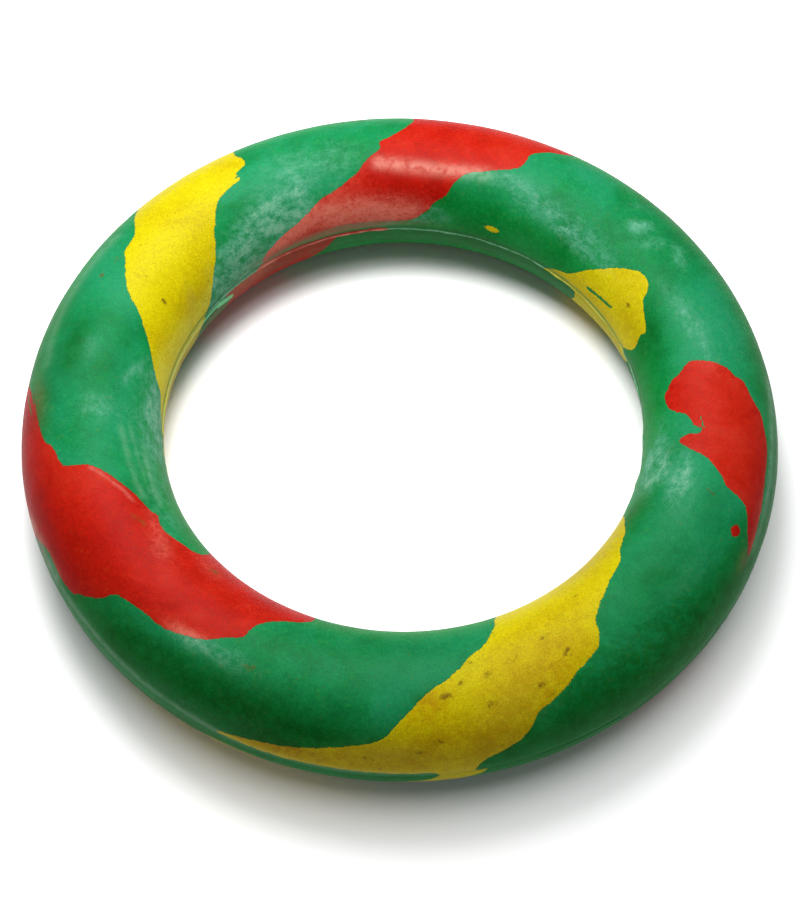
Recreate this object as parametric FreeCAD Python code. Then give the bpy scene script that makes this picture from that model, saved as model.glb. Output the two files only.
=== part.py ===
"""Marbled rubber throwing ring: a hollow, air-filled tube bent into a closed ring.

The ring is pressed in a two-plate mould, so it is two half shells, an upper and a lower one,
bonded where they meet in the plane z = 0. Pieces of red and yellow rubber sheet are let into the
outer skin of the green shells and cured flush with it. At each seam the flash is ground off, which
leaves a narrow flat land on both halves. The mould plates don't line up exactly, so the lower half
sits a hair to one side, and there is a very fine step along the seam.

Frame: millimetres, origin at the ring's centre, +Z along the ring's axis, seam in the plane z = 0.
A place on the skin is (ring angle, tube angle) in degrees. The ring angle turns about +Z from +X.
The tube angle turns in the tube's section: 0 is the outer seam, 90 the top, 180 the seam in the
hole, 270 the underside, and 360 the outer seam again.
"""

import FreeCAD, Part
import math
import os

from BOPTools import SplitAPI

# Driving dimensions
outer_diameter = 180.0
tube_diameter = 32.4
wall = 4.6  # rubber between the skin and the air inside
inlay_depth = 2.0  # thickness of the coloured sheet pieces
mould_shift = (0.24, 0.10)  # how far the lower half is moved against the upper one
land_height = 2.2  # the flash at each seam is ground to a flat band this far up and down

tube_radius = tube_diameter / 2
ring_radius = outer_diameter / 2 - tube_radius
air_radius = tube_radius - wall
inlay_floor_radius = tube_radius - inlay_depth

# How the inlays are cut out of the skin
cutter_height = 1.0  # the cutters stand this far above the skin
knife_overshoot = 0.6  # the cutting ribbon runs this far past both sides of a cutter
knife_points_per_span = 4
joint_line_angle = 10.0  # ring angle of the faces' own joint line, where no inlay lies
past_seam = 12.0  # outlines that end at a seam run on by this tube angle
cutter_past_seam = 16.0  # and the cutters are cut from a layer that runs on by this one

OUTER, INNER, OUTER_AGAIN = -past_seam, 180.0 + past_seam, 360.0 + past_seam
INNER_BELOW = 180.0 - past_seam

# Outlines of the coloured pieces in the upper half, as (ring angle, tube angle)
upper_inlays = {
    "red_stripe_back": [
        (58, OUTER), (58, 20), (59, 45), (62, 62), (64.5, 78), (65, 92), (68, 103), (75, 116),
        (78.5, 130), (81, 147), (86, 166), (92, 169), (104, 168), (115, 170), (127, 173),
        (125, 163), (119, 153), (112, 141), (105, 132), (99, 118), (95, 103), (92, 87),
        (89, 66), (88, 45), (87, 20), (86, OUTER),
    ],
    "red_sliver_in_hole": [
        (92, INNER), (95, 177), (106, 176.5), (117, 176), (126, 175), (131, INNER),
    ],
    "yellow_stripe_left": [
        (119, OUTER), (120, 20), (120.5, 45), (121, 70), (122.5, 84), (127, 95), (131.5, 102),
        (134.5, 115), (137, 130), (141, 149), (145, 164), (149, 176), (151, INNER),
        (189, INNER), (184, 178), (178, 166), (172, 150), (166, 129), (161, 111), (155, 89),
        (150, 77), (146, 68), (142, 52), (139, 36), (137, 15), (135, OUTER),
    ],
    "red_stripe_left": [
        (167, OUTER), (171, 6), (176, 22), (181, 40), (189, 53), (195, 67), (197.5, 84),
        (200, 99), (206, 113), (212, 124), (219, 129), (223, 141), (223, 152), (221, 166),
        (219, 178), (218, INNER), (255, INNER), (254, 175), (252.5, 156), (251, 138),
        (247, 123), (244, 108), (241.5, 90), (236, 75), (230, 68), (223.5, 61), (219.5, 47),
        (216, 31), (210, 26), (205, 20), (201, 4), (200, OUTER),
    ],
    "yellow_stripe_front": [
        (245, 12), (252, 19), (259, 29), (266, 40), (270, 57), (274, 76), (279, 93), (284, 107),
        (288, 126), (290.5, 146), (293, 170), (295, INNER), (333, INNER), (332, 175),
        (329, 157), (325, 137), (318, 121), (310, 107), (304, 91), (302, 69), (294, 57),
        (289, 42), (285, 24), (281, 10), (280, OUTER), (276, OUTER), (274.5, 4), (268, 7),
        (256, 8),
    ],
    "red_patch_right": [
        (333, 29), (340, 35), (349, 40), (356, 49), (359, 62), (363, 79), (366, 97),
        (365.5, 112), (363, 126), (359, 138), (355, 131), (353, 117), (349.5, 106), (349, 119),
        (347, 121), (345, 108), (341.5, 88), (339, 65), (336, 46),
    ],
    "red_fleck_right": [(332.3, 54), (333.5, 59), (334.9, 54.5), (333.6, 49)],
    "yellow_patch_in_hole": [
        (51, INNER), (50, 177), (45, 166), (41, 152), (36, 137), (32, 121), (28, 115),
        (25.5, 122), (22, 133), (18, 140), (17.2, 150), (17, 161), (19, 172), (21, INNER),
    ],
    "yellow_fleck_back": [(64.8, 162), (67, 165.5), (69.4, 161.5), (67, 158.5)],
}

# Outlines of the coloured pieces in the lower half
lower_inlays = {
    "lower_yellow_patch_right": [
        (16, INNER_BELOW), (18, 186), (22, 200), (30, 222), (38, 243), (44, 262), (52, 275),
        (58, 272), (57, 258), (51, 240), (46, 222), (43, 203), (41.5, 190), (40, INNER_BELOW),
    ],
    "lower_red_stripe_right": [
        (26, 278), (31, 296), (40, 314), (50, 332), (56, 350), (58, OUTER_AGAIN),
        (87, OUTER_AGAIN), (85, 350), (80, 330), (72, 312), (62, 298), (50, 290), (38, 280),
        (30, 272),
    ],
    "lower_yellow_stripe_back": [
        (74, 262), (78, 280), (86, 300), (97, 322), (110, 345), (117, OUTER_AGAIN),
        (137, OUTER_AGAIN), (133, 350), (124, 328), (114, 308), (104, 290), (94, 272),
        (84, 258), (77, 255),
    ],
    "lower_red_stripe_back": [
        (107, INNER_BELOW), (109, 188), (113, 205), (118, 225), (124, 250), (131, 275),
        (141, 300), (152, 325), (163, 345), (168, OUTER_AGAIN), (200, OUTER_AGAIN),
        (198, 350), (192, 330), (180, 308), (168, 290), (160, 270), (153, 250), (148, 232),
        (143, 215), (139.5, 195), (138.5, INNER_BELOW),
    ],
    "lower_yellow_stripe_left": [
        (149, INNER_BELOW), (152, 190), (158, 210), (168, 235), (180, 255), (195, 275),
        (212, 298), (227, 322), (238, 340), (243, 350), (250, 346), (262, 341), (271, 345),
        (275, 357), (276, OUTER_AGAIN), (281.5, OUTER_AGAIN), (281, 352), (274, 334),
        (263, 318), (250, 302), (236, 284), (224, 265), (210, 243), (198, 220), (190, 198),
        (187, INNER_BELOW),
    ],
    "lower_red_stripe_front": [
        (219, INNER_BELOW), (222, 190), (228, 210), (237, 232), (247, 250), (260, 266),
        (276, 280), (292, 296), (306, 312), (318, 326), (324, 328), (322, 316), (312, 300),
        (303, 284), (293, 268), (281, 250), (270, 230), (262, 212), (257, 195),
        (254, INNER_BELOW),
    ],
    "lower_yellow_stripe_front": [
        (295, INNER_BELOW), (298, 192), (304, 212), (312, 232), (322, 250), (332, 266),
        (342, 280), (351, 288), (356, 284), (355, 272), (350, 256), (344, 238), (338, 218),
        (334, 198), (332, INNER_BELOW),
    ],
}


def point_in_section(from_centre, tube_angle):
    """A point of the tube's section, drawn in the half plane at the joint line's ring angle."""
    turn = math.radians(tube_angle)
    across = ring_radius + from_centre * math.cos(turn)
    around = math.radians(joint_line_angle)
    return FreeCAD.Vector(
        across * math.cos(around), across * math.sin(around), from_centre * math.sin(turn)
    )


def point_on_ring(ring_angle, tube_angle, from_centre):
    """The point at this place, at this distance from the tube's centre line."""
    around, turn = math.radians(ring_angle), math.radians(tube_angle)
    across = ring_radius + from_centre * math.cos(turn)
    return FreeCAD.Vector(
        across * math.cos(around), across * math.sin(around), from_centre * math.sin(turn)
    )


def revolved(curves):
    """The solid made by turning a closed section about Z."""
    section = Part.Face(Part.Wire([curve.toShape() for curve in curves]))
    ring = section.revolve(FreeCAD.Vector(0, 0, 0), FreeCAD.Vector(0, 0, 1), 360)
    return ring if ring.Volume > 0 else ring.reversed()


def arc_in_section(from_centre, first, last):
    """An arc of the tube's section, from one tube angle to another."""
    return Part.Arc(*(point_in_section(from_centre, a) for a in (first, (first + last) / 2, last)))


def half_shell(first):
    """Half of the hollow ring, with a flat land beside each seam where the flash is ground off."""
    last = first + 180
    land = math.degrees(math.asin(land_height / tube_radius))
    skin = arc_in_section(tube_radius, first + land, last - land)
    air = arc_in_section(air_radius, last, first)
    land_reach = tube_radius * math.cos(math.radians(land))
    seam_a = point_in_section(land_reach, first)
    seam_b = point_in_section(land_reach, last)
    return revolved((
        skin,
        Part.LineSegment(skin.EndPoint, seam_b),
        Part.LineSegment(seam_b, air.StartPoint),
        air,
        Part.LineSegment(air.EndPoint, seam_a),
        Part.LineSegment(seam_a, skin.StartPoint),
    ))


def cutter_layer(first):
    """The layer the cutters come from: the inlaid layer of one half, and a little all round it."""
    ends = (first - cutter_past_seam, first + 180 + cutter_past_seam)
    top = arc_in_section(tube_radius + cutter_height, *ends)
    floor = arc_in_section(inlay_floor_radius, *reversed(ends))
    return revolved((
        top,
        Part.LineSegment(top.EndPoint, floor.StartPoint),
        floor,
        Part.LineSegment(floor.EndPoint, top.StartPoint),
    ))


def smooth_outline(corners):
    """More places along a closed outline, on a smooth curve that passes through its corners."""
    places = []
    for i in range(len(corners)):
        before, start, end, after = (corners[(i + k) % len(corners)] for k in (-1, 0, 1, 2))
        for step in range(knife_points_per_span):
            t = step / knife_points_per_span
            places.append(tuple(
                0.5 * (2 * b + (c - a) * t + (2 * a - 5 * b + 4 * c - d) * t ** 2
                       + (3 * b - a - 3 * c + d) * t ** 3)
                for a, b, c, d in zip(before, start, end, after)
            ))
    return places


def closed_curve(places, from_centre):
    """A closed spline through these places, at this distance from the tube's centre line."""
    points = [point_on_ring(*place, from_centre) for place in places]
    curve = Part.BSplineCurve()
    steps = [float(i) for i in range(len(points) + 1)]
    curve.interpolate(Points=points, Parameters=steps, PeriodicFlag=True)
    return curve.toShape()


def knife(corners):
    """A ribbon square to the skin along an outline, to cut an inlay out of the skin."""
    places = smooth_outline(corners)
    low = closed_curve(places, inlay_floor_radius - knife_overshoot)
    high = closed_curve(places, tube_radius + cutter_height + knife_overshoot)
    return Part.makeRuledSurface(low, high)


def place_of(point):
    """The (ring angle, tube angle) of a point, in degrees."""
    across = math.hypot(point.x, point.y) - ring_radius
    return math.degrees(math.atan2(point.y, point.x)), math.degrees(math.atan2(point.z, across))


def is_inside(place, corners):
    """Whether a place lies within an outline. Angles may differ by whole turns."""
    outline = smooth_outline(corners)
    for ring_turn in (-360, 0, 360):
        for tube_turn in (0, 360):
            x, y = place[0] + ring_turn, place[1] + tube_turn
            crossings = 0
            for (xa, ya), (xb, yb) in zip(outline, outline[1:] + outline[:1]):
                if (ya > y) != (yb > y) and x < xa + (y - ya) * (xb - xa) / (yb - ya):
                    crossings += 1
            if crossings % 2:
                return True
    return False


def point_on_top(solid):
    """A point of a cutter's outermost face, away from the face's edges."""
    top = max(
        (face for face in solid.Faces if isinstance(face.Surface, Part.Toroid)),
        key=lambda face: face.Surface.MinorRadius,
    )
    points, triangles = top.tessellate(1.0)
    corners = max(
        ([points[i] for i in triangle] for triangle in triangles),
        key=lambda c: (c[1] - c[0]).cross(c[2] - c[0]).Length,
    )
    return (corners[0] + corners[1] + corners[2]) * (1 / 3)


def cutter(layer, corners):
    """The solid that stands over an outline, from the inlays' floor to above the skin."""
    parts = SplitAPI.slice(layer, [knife(corners)], "Split").Solids
    inside = [part for part in parts if is_inside(place_of(point_on_top(part)), corners)]
    assert len(parts) == 2 and len(inside) == 1, (len(parts), len(inside), corners[0])
    return inside[0]


def make_half(first_angle, outlines, shell_name, shift_share):
    """One half of the ring: its green shell with pockets, and the coloured pieces in them."""
    shell = half_shell(first_angle)
    layer = cutter_layer(first_angle)
    pieces = {}
    for name, corners in outlines.items():
        tool = cutter(layer, corners)
        pieces[name] = shell.common(tool)
        shell = shell.cut(tool)
    pieces[shell_name] = shell
    shift = FreeCAD.Vector(shift_share * mould_shift[0], shift_share * mould_shift[1], 0)
    return {name: piece.translated(shift) for name, piece in pieces.items()}


def main():
    nodes = make_half(0, upper_inlays, "green_upper_shell", -0.5)
    nodes.update(make_half(180, lower_inlays, "green_lower_shell", 0.5))
    os.makedirs("parts", exist_ok=True)
    total = 0.0
    for name, shape in nodes.items():
        for solid in shape.Solids:
            assert solid.isValid() and solid.Volume > 0, name
        shape.exportStep(f"parts/{name}.step")
        total += shape.Volume
        print(f"{name:28s} solids {len(shape.Solids)} faces {len(shape.Faces)} mm3 {shape.Volume:.1f}")
    full = 2 * math.pi ** 2 * ring_radius * (tube_radius ** 2 - air_radius ** 2)
    print(f"total {total:.1f} mm3, a plain hollow ring {full:.1f} mm3")


main()
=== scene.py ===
"""The look of a marbled rubber throwing ring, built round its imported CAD.

A place on the ring's skin is (ring angle, tube angle) in degrees, as in the CAD. The ring angle
turns about +Z from +X. The tube angle is 0 on the outer seam, 90 on top, 180 on the seam in the
hole, 270 underneath and 360 on the outer seam again. Lengths are metres, unless a name ends in
_mm. Each CAD node is replaced by a finer piece of the same shape, whose edge is ragged, as the
edges of the real sheet pieces are.
"""

import math

import bpy
import numpy as np
from mathutils import Matrix, Vector, noise


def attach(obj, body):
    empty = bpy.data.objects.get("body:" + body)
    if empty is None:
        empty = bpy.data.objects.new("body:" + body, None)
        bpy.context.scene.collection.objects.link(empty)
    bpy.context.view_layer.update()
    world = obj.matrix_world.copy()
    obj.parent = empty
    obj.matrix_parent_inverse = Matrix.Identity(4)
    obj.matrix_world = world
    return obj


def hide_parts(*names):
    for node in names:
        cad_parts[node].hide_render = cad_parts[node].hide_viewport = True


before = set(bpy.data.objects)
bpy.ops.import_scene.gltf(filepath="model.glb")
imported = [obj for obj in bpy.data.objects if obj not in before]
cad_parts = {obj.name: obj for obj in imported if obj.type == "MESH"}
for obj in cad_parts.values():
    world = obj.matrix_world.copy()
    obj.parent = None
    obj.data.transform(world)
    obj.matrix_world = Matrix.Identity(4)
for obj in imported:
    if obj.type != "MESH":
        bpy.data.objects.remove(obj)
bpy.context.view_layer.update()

MM = 0.001

# The ring's sizes, as in the CAD
RING_R = 73.8 * MM
TUBE_R = 16.2 * MM
AIR_R = 11.6 * MM
INLAY_DEPTH = 2.0 * MM
MOULD_SHIFT = (0.24 * MM, 0.10 * MM)
LAND_HEIGHT = 2.2 * MM
UNEVENNESS, THICK_SIDE = 0.4 * MM, 190.0  # the tube is a little thicker on one side
PAST_SEAM = 12.0  # outlines that end at a seam run on by this tube angle

# How the moulded skin departs from an even tube
SEAM_SIDE, SEAM_SHARE = 205.0, 0.35  # the outer seam shows most round this ring angle
FLUSH_HEIGHT = 5 * MM  # where it doesn't show, the halves come into line this near to it
LIP_OUT_MM, LIP_IN_UPPER_MM, LIP_IN_LOWER_MM = -0.16, 0.30, -0.10
LIP_HEIGHT = 0.5 * MM
SMALL_PIECE_RAG = 0.35  # the share of the ragged edge that a small piece gets

OUT, IN, OUT_AGAIN, IN_BELOW = -PAST_SEAM, 180 + PAST_SEAM, 360 + PAST_SEAM, 180 - PAST_SEAM

# Outlines of the coloured pieces: those of the CAD, with more of their small turns
UPPER_INLAYS = {
    "red_stripe_back": [
        (58, OUT), (58, 20), (58.5, 42), (59.5, 55), (62, 65), (64, 75), (65, 82), (65, 92),
        (66, 100), (69.5, 107), (72.5, 112), (75.5, 117), (77.5, 124), (78.5, 130), (79.5, 140),
        (82, 147), (83.5, 155), (85.5, 162), (87.5, 167), (91, 169), (98, 168.5), (104, 167.5),
        (110, 168.5), (117, 170.5), (123, 171.5), (127.5, 173), (127, 169), (125, 164),
        (120, 156), (116, 151), (112.5, 144), (109.5, 137), (105.5, 132), (103, 127), (100, 120),
        (97.5, 109), (94.7, 100), (94.5, 92), (92, 85), (90, 76), (89, 70), (88, 60), (88, 45),
        (87, 20), (86, OUT),
    ],
    "red_sliver_in_hole": [
        (92, IN), (95, 177), (100, 177.2), (106, 176.3), (112, 176.6), (117, 175.8),
        (122, 176), (126, 175), (128.5, 176.5), (131, IN),
    ],
    "yellow_stripe_left": [
        (119, OUT), (120, 20), (120.5, 42), (121.2, 60), (120.8, 75), (121.5, 82), (123.6, 86),
        (124, 94), (127.5, 97), (130.2, 101.5), (132.3, 108), (133.9, 116), (135.6, 122),
        (136.4, 128), (137.8, 134.5), (139.2, 142), (141, 148), (142.6, 154), (144.2, 161),
        (145.8, 169), (147.5, 175.3), (149, 180), (150.5, IN), (189, IN), (184, 178),
        (180, 170), (176, 165), (173.5, 154),
        (170.5, 145), (167.5, 137), (163.5, 124), (161, 114), (159.5, 105), (157, 96),
        (153, 85), (150.5, 77), (147, 74), (145, 66), (142.5, 52), (140.5, 42), (139, 30),
        (137, 15), (135, OUT),
    ],
    "red_stripe_left": [
        (167, OUT), (171, 6), (175, 18), (178, 30), (180, 40), (182.5, 45), (186, 50),
        (190, 56), (192.5, 64), (196, 69), (197, 77), (198, 90), (199.5, 97), (202, 106),
        (205, 114), (208, 119), (210.5, 122), (212, 126), (214, 123.5), (217, 124),
        (219.5, 129), (222.5, 134), (223.8, 141), (223, 155), (221, 166), (219, 178),
        (218, IN), (255, IN), (254, 175), (251.5, 156), (252, 140), (250.5, 130), (248, 124),
        (245.5, 117), (243.5, 107), (243, 100), (242.5, 92), (240, 85), (237.5, 77),
        (234.5, 72), (231, 67), (227.5, 66), (223.5, 64), (221, 60), (220, 52), (218.5, 44),
        (216, 34), (214.5, 27), (211, 25), (207.5, 27), (205, 22), (202, 10), (200.5, 3),
        (200, OUT),
    ],
    "yellow_stripe_front": [
        (244, 11), (247.5, 16), (252, 20.5), (257, 26), (262.5, 34), (267, 41), (268.7, 50),
        (270, 57), (272, 67), (273.7, 75), (275.6, 81), (279.5, 92), (282, 102), (285, 110),
        (287, 120), (288.7, 130), (289.7, 144), (293, 170), (295, IN), (333, IN),
        (332, 175), (329.5, 157), (326, 145), (324.5, 139), (320, 130), (317, 120),
        (313, 114), (310, 107), (307, 100), (304.7, 92), (303.7, 82), (302.5, 74), (301, 70),
        (298, 65), (295, 57), (292.5, 51), (290, 46), (288.7, 37), (287, 29), (284.5, 22),
        (282, 17), (280.5, 7), (280, OUT), (276, OUT), (275, 5), (271, 7), (263, 8.5),
        (254, 7.5), (248, 9),
    ],
    "red_patch_right": [
        (332.4, 28.5), (334.8, 41), (338, 52), (339, 62), (339.7, 75), (341, 80), (343, 90),
        (344.5, 99), (345.5, 110), (347, 120), (348, 122), (349.2, 116), (349.2, 107),
        (350.3, 104.5), (351.2, 111), (353.7, 117), (355, 127), (357, 136), (360, 139),
        (361.3, 135), (363, 130), (364, 122), (366, 112), (365.6, 100), (365, 92),
        (363.7, 82), (362, 75), (361, 67), (358, 60), (356, 51), (353.7, 47), (350.6, 42),
        (345.6, 40), (342, 37), (338.7, 34), (335.6, 30.5),
    ],
    "red_fleck_right": [(332.5, 54), (333.5, 59), (334.7, 55), (333.8, 49)],
    "yellow_patch_in_hole": [
        (52, IN), (51, 179), (47.5, 171), (45, 167), (43, 161), (40.5, 150), (37.5, 140),
        (34, 127), (30.5, 117), (27.5, 115), (25.5, 120), (24.5, 127), (22.5, 132),
        (18.5, 138), (17.5, 141), (18, 147), (17, 155), (17, 162), (18.5, 169), (20.5, 176),
        (21, IN),
    ],
    "yellow_fleck_back": [(65, 162), (67, 165), (69.2, 161.7), (67, 159)],
}
LOWER_INLAYS = {
    "lower_yellow_patch_right": [
        (16, IN_BELOW), (18, 186), (22, 200), (30, 222), (38, 243), (44, 262), (52, 275),
        (58, 272), (57, 258), (51, 240), (46, 222), (43, 203), (41.5, 190), (40, IN_BELOW),
    ],
    "lower_red_stripe_right": [
        (26, 278), (31, 296), (40, 314), (50, 332), (56, 350), (58, OUT_AGAIN),
        (87, OUT_AGAIN), (85, 350), (80, 330), (72, 312), (62, 298), (50, 290), (38, 280),
        (30, 272),
    ],
    "lower_yellow_stripe_back": [
        (74, 262), (78, 280), (86, 300), (97, 322), (110, 345), (117, OUT_AGAIN),
        (137, OUT_AGAIN), (133, 350), (124, 328), (114, 308), (104, 290), (94, 272),
        (84, 258), (77, 255),
    ],
    "lower_red_stripe_back": [
        (107, IN_BELOW), (109, 188), (113, 205), (118, 225), (124, 250), (131, 275),
        (141, 300), (152, 325), (163, 345), (168, OUT_AGAIN), (200, OUT_AGAIN),
        (198, 350), (192, 330), (180, 308), (168, 290), (160, 270), (153, 250), (148, 232),
        (143, 215), (139.5, 195), (138.5, IN_BELOW),
    ],
    "lower_yellow_stripe_left": [
        (149, IN_BELOW), (152, 190), (158, 210), (168, 235), (180, 255), (195, 275),
        (212, 298), (227, 322), (238, 340), (243, 350), (250, 346), (262, 341), (271, 345),
        (275, 357), (276, OUT_AGAIN), (281.5, OUT_AGAIN), (281, 352), (274, 334),
        (263, 318), (250, 302), (236, 284), (224, 265), (210, 243), (198, 220), (190, 198),
        (187, IN_BELOW),
    ],
    "lower_red_stripe_front": [
        (219, IN_BELOW), (222, 190), (228, 210), (237, 232), (247, 250), (260, 266),
        (276, 280), (292, 296), (306, 312), (318, 326), (324, 328), (322, 316), (312, 300),
        (303, 284), (293, 268), (281, 250), (270, 230), (262, 212), (257, 195),
        (254, IN_BELOW),
    ],
    "lower_yellow_stripe_front": [
        (295, IN_BELOW), (298, 192), (304, 212), (312, 232), (322, 250), (332, 266),
        (342, 280), (351, 288), (356, 284), (355, 272), (350, 256), (344, 238), (338, 218),
        (334, 198), (332, IN_BELOW),
    ],
}

# Soft oval marks on the skin: (ring angle, tube angle, half length mm, half width mm, turn in
# degrees from the ring's direction towards rising tube angle, strength)
# Pale blooming of the rubber, and in places painted sheen where highlights fall
BLOOM_AND_SHEEN = [
    (127, 143, 8, 5, 60, 0.75), (126, 156, 13, 6, 50, 0.85), (118, 146, 9, 4, 60, 0.55),
    (134, 162, 9, 6, 20, 0.80), (139, 166, 6, 5, 0, 0.75), (137, 148, 5, 6, 60, 0.45),
    (118, 131, 7, 4, 60, 0.38), (106, 105, 10, 7, 0, 0.45), (114, 132, 6, 3, 70, 0.16),
    (185.5, 102.5, 4.2, 4, 0, 0.62), (172.8, 90, 3.6, 3.2, 0, 0.45), (196, 146, 16, 4, 5, 0.40),
    (180, 159, 11, 4.5, 8, 1.0), (189, 162, 8, 4, 0, 0.80), (196, 128, 14, 4, 0, 0.16),
    (213, 137, 8, 4, 0, 0.34),
    (160, 167, 14, 3.5, 0, 0.75), (171, 168, 12, 3.5, 0, 0.85), (146, 168, 6, 3, 0, 0.5),
    (342, 146, 10, 5.5, 0, 1.0), (341, 136, 6, 3, 70, 0.40), (338.5, 111.5, 7, 2.6, 0, 1.0),
    (331, 101, 8, 3, 0, 0.30),
    (322, 68, 7, 3, 0, 0.26), (38, 130, 20, 4, 170, 0.42), (50, 133, 12, 3, 170, 0.40),
    (60, 124, 14, 4, 170, 0.35), (38.5, 87, 4, 2.2, 60, 0.85), (34, 88, 5, 2, 60, 0.60),
    (28.5, 79.5, 4, 2.2, 150, 0.60), (42, 68, 4, 2, 60, 0.35), (15, 100, 12, 3, 8, 0.70),
    (100, 160, 10, 4, 170, 0.70), (110, 152, 12, 4, 0, 0.70), (90, 156, 9, 4, 0, 0.45),
    (218, 112, 8, 3, 160, 0.35), (228, 132, 5, 3, 160, 0.3), (115, 90, 7, 5, 90, 0.22),
    (84, 161, 8, 3, 0, 0.3), (66, 113, 8, 2.4, 0, 0.45), (262, 22, 14, 2.5, 0, 0.2),
    # The next two marks are painted highlights
    (235.5, 71, 6, 1.8, 0, 1.0), (242, 73, 7, 2.4, 0, 0.55), (248, 60, 12, 3, 10, 0.12),
    (248, 36, 9, 4, 0, 0.22),
    (274, 158, 14, 1.6, 0, 0.7), (256, 152, 5, 1.6, 0, 0.8), (176, 128, 5, 1.3, 149, 0.60),
    (236, 24, 14, 2.5, 0, 0.35), (10, 62, 14, 6, 0, 0.22),
    (345, 33, 12, 2.4, 0, 0.60), (335, 27, 7, 2, 0, 0.35), (150, 41, 7, 3, 0, 0.30),
]
GRIME = [
    (277, 74, 1.3, 0.7, 20, 1.0), (279.5, 81, 1.2, 0.7, 40, 0.55), (283.5, 62, 1.4, 0.6, 10, 0.75),
    (291.5, 65, 1.0, 0.7, 0, 0.7), (297.5, 81, 1.8, 0.6, 30, 0.6), (293, 56, 1.0, 0.6, 0, 0.7),
    (272.5, 31, 1.2, 0.8, 0, 0.6), (275.5, 40, 1.2, 0.8, 30, 0.6), (289, 93, 2.6, 1.2, 35, 0.28),
    (284, 84, 2.0, 0.8, 20, 0.32), (295.3, 99.5, 1.6, 0.5, 20, 0.5), (266, 25, 1.8, 0.9, 0, 0.5),
    (156, 131, 0.9, 0.45, 80, 1.0), (153.7, 106, 0.9, 0.5, 70, 0.40), (154.5, 100, 0.7, 0.4, 0, 0.7),
    (26, 142, 0.8, 0.45, 0, 1.0), (148, 164, 1.4, 0.5, 60, 0.6), (144, 152, 0.8, 0.4, 20, 0.5),
    (282, 96, 1.0, 0.6, 0, 0.6), (305, 120, 1.0, 0.5, 0, 0.5), (212, 108, 1.8, 1.0, 30, 0.55),
    (229, 133, 1.6, 1.2, 0, 0.6), (246, 73, 1.6, 0.9, 0, 0.5), (157, 72, 1.2, 0.7, 0, 0.6),
    (153, 76, 1.2, 0.8, 0, 0.5), (147, 169, 2.0, 0.8, 60, 0.35),
    (337.5, 86, 1.6, 0.22, 70, 0.8), (151, 150, 3.0, 1.0, 70, 0.20),
]
# Soft brown soiling, and painted shade on the lower outer side of the ring
SOIL_AND_SHADE = [
    (287, 89, 11, 6, 35, 0.35), (297, 84, 6, 3.5, 20, 0.45), (303, 112, 9, 5, 0, 0.30),
    (274, 70, 5, 3.4, 20, 0.75), (289, 70, 8, 5, 20, 0.15), (256, 20, 20, 4, 0, 0.75),
    (274, 34, 10, 7, 30, 0.6),
    (283, 28, 7, 7, 0, 0.55), (292, 62, 9, 6, 0, 0.22), (228, 46, 24, 5, 0, 0.55),
    (212, 30, 16, 5, 0, 0.3), (250, 44, 18, 6, 0, 0.55), (300, 36, 22, 9, 0, 0.6),
    (318, 34, 16, 9, 0, 0.55), (308, 60, 14, 5, 0, 0.3), (336, 24, 12, 5, 0, 0.4),
    (188, 24, 16, 5, 0, 0.25), (165, 34, 14, 5, 0, 0.3), (20, 150, 10, 4, 0, 0.35),
    (60, 150, 14, 3, 0, 0.35), (350, 100, 5, 4, 0, 0.2), (36, 168, 10, 2.5, 0, 0.25),
    (183, 49, 8, 3.5, 0, 0.60), (318, 150, 12, 6, 0, 0.30), (166, 190, 20, 1.6, 0, 0.9),
]
# Painted shade: darker skin where the ring faces away from the light, in places also cleaner rubber
DEEP_SHADE = [
    (238, 46, 34, 6.5, 0, 0.95), (262, 46, 14, 4.5, 0, 0.45), (296, 21, 20, 6, 0, 0.60),
    (318, 32, 14, 5, 0, 0.20), (176, 60, 10, 5, 0, 0.40), (164, 54, 9, 4, 0, 0.30),
    (17, 135, 9, 3.4, 0, 0.85), (345, 128, 6, 2.4, 0, 0.30), (331, 140, 7, 5, 0, 0.30),
    (336.5, 80, 5, 3.4, 0, 0.45), (22, 152, 8, 3, 0, 0.50),
    (207, 10, 8, 3, 0, 0.30), (318, 148, 14, 8, 0, 0.55), (326, 80, 14, 6, 0, 0.25),
    (173, 110, 5, 3.5, 0, 0.35), (181, 116, 7, 3, 0, 0.30), (174.5, 79, 9, 4, 0, 0.85),
    (168, 74, 6, 4, 0, 0.25), (228, 24, 12, 2.5, 0, 0.30), (127, 118, 5, 4, 60, 0.25),
    (266, 109, 26, 7.5, 0, 0.60), (316, 88, 18, 9, 0, 0.45), (330, 112, 8, 6, 0, 0.25),
    (333, 147, 5, 4, 0, 0.45),
    (81, 138, 8, 3.8, 0, 0.80),
]
# Thin dirt and colour dragged out of place
SMEAR = [
    (108, 171, 17, 1.2, 0, 0.95), (104, 170, 12, 0.9, 0, 0.50), (124, 173, 5, 1.0, 0, 0.60),
    (144, 194, 6, 2.2, 0, 0.70), (150, 152, 3.2, 1.0, 70, 0.18), (153, 160, 5, 1.2, 60, 0.12),
    (182, 48, 7, 2.6, 10, 0.32), (331.5, 31, 3, 1.8, 0, 0.35), (130, 166, 2.2, 1.2, 30, 0.12),
    (287, 60, 10, 5, 30, 0.14), (268, 30, 9, 3, 0, 0.16), (204.5, 16, 5, 1.6, 0, 0.45),
]
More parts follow.
